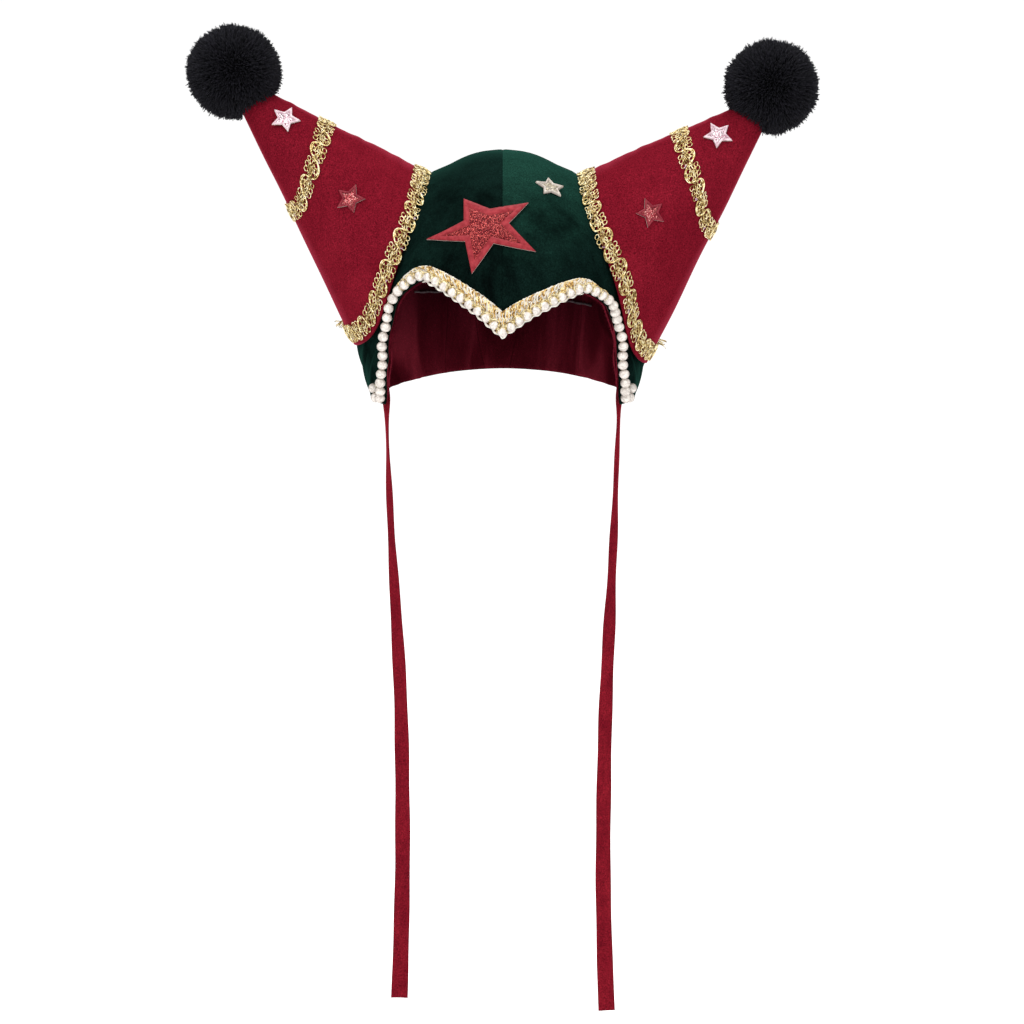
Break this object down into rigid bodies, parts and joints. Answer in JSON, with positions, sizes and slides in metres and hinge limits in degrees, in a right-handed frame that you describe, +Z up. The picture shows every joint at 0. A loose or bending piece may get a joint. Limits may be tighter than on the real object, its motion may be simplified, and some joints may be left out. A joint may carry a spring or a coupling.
{
  "type": "jester hat",
  "caption": "Velvet jester hat with pompom-tipped horns, gold braid bands, a pearl-edged face opening, star trims and hanging ribbon ties.",
  "frame": {"origin": "middle of the head opening, at the height of the rim's lowest edge", "axes": "+X to the wearer's left horn as seen from the front on the right, -Y to the front of the face opening, +Z up"},
  "size_m": [0.3606, 0.2013, 0.5813],
  "materials": {
    "green_velvet": "deep bottle green cotton velvet",
    "red_velvet": "wine red velvet",
    "lining": "dark red satin-backed lining",
    "tie_velvet": "red velvet ribbon",
    "grey_tape": "grey cotton tape",
    "black_yarn": "black acrylic yarn",
    "gold_braid": "metallic gold scroll gimp",
    "pearl": "ivory imitation pearl",
    "red_glitter": "red glitter foam with a raised rim",
    "silver_glitter": "silver-pink glitter"
  },
  "bodies": {
    "root": {"crown_panel_left": "green_velvet", "crown_panel_right": "green_velvet", "crown_lining": "lining", "lining_stay": "grey_tape", "pearl_braid": "gold_braid", "pearl_string": "pearl", "star_large": "red_glitter", "star_front_small": "silver_glitter", "horn_left": "red_velvet", "horn_right": "red_velvet", "pompom_left": "black_yarn", "pompom_right": "black_yarn", "braid_base_left": "gold_braid", "braid_base_right": "gold_braid", "braid_mid_left": "gold_braid", "braid_mid_right": "gold_braid", "star_silver_left": "silver_glitter", "star_silver_right": "silver_glitter", "star_red_left": "red_glitter", "star_red_right": "red_glitter", "tie_left": "tie_velvet", "tie_right": "tie_velvet"}
  },
  "joints": []
}
